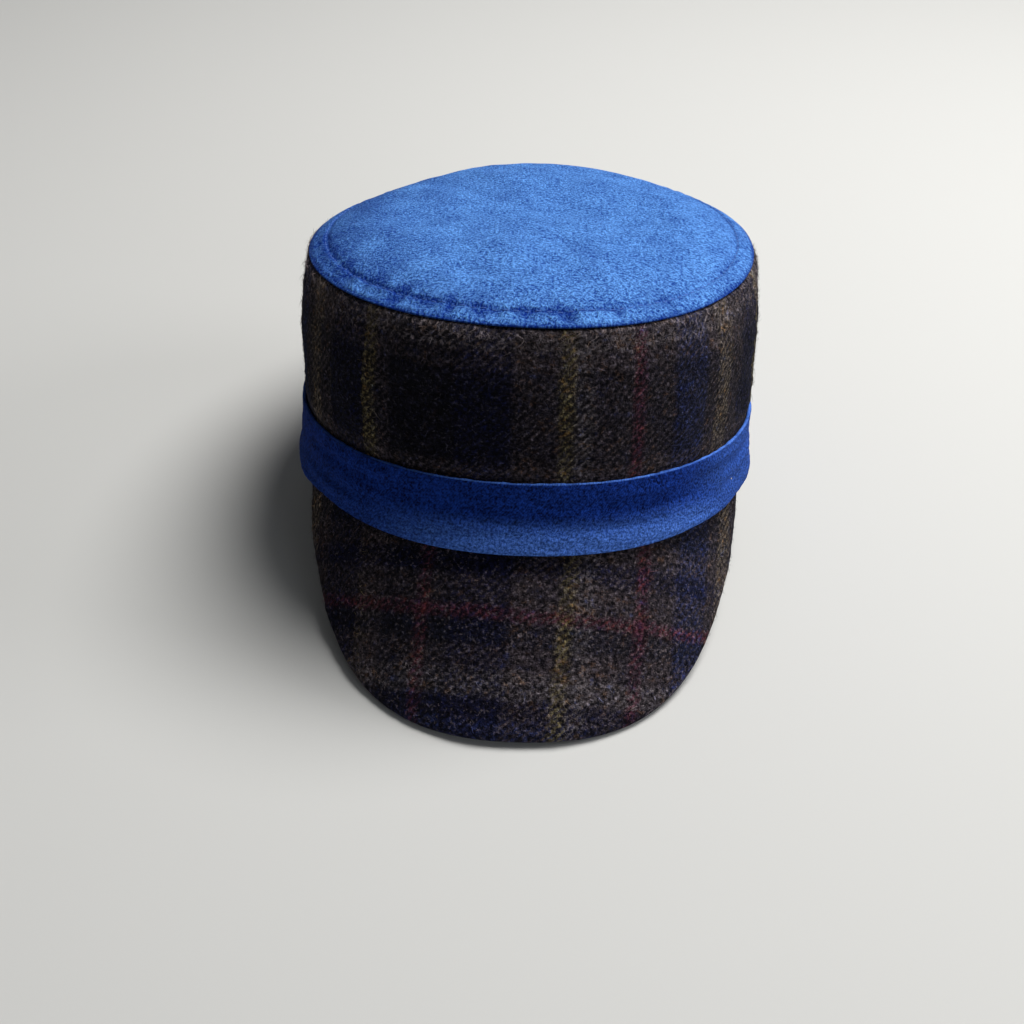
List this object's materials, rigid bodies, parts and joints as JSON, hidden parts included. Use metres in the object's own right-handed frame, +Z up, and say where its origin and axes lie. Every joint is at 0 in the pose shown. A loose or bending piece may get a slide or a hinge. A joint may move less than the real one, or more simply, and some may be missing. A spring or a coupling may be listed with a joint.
{
  "type": "peaked cap",
  "caption": "Flat-topped peaked cap: domed denim crown top, tweed side wall, folded denim band and a steep curved tweed visor, lined and stiffened, resting on visor edge and rear band.",
  "frame": {"origin": "centre of the bounding box in plan, on the surface that the cap rests on", "axes": "+Z up from the resting surface, +Y towards the back of the cap, so the visor points to -Y, +X to the right seen from in front; the cap's own base plane is tilted back about X by about 13.8 degrees"},
  "size_m": [0.1796, 0.2622, 0.1308],
  "materials": {
    "denim_top": "mid-blue heathered denim twill, matt",
    "denim_band": "dark indigo denim twill, worn pale along its fold",
    "tweed": "fuzzy charcoal-brown wool tweed with ochre, rust and navy checks",
    "canvas": "stiff natural hair canvas, matt",
    "lining": "thin smooth lining twill, slight sheen",
    "board": "flexible matt plastic sheet",
    "sweatband": "ribbed cotton ribbon, matt",
    "thread": "twisted sewing thread"
  },
  "bodies": {
    "root": {"crown_top": "denim_top", "crown_top_interlining": "canvas", "crown_top_lining": "lining", "crown_topstitch_thread": "thread", "crown_wall": "tweed", "crown_wall_interlining": "canvas", "crown_wall_lining": "lining", "hat_band": "denim_band", "band_stiffener": "canvas", "sweatband": "sweatband", "sweatband_thread": "thread", "visor_top_cover": "tweed", "visor_board": "board", "visor_under_cover": "tweed"}
  },
  "joints": []
}
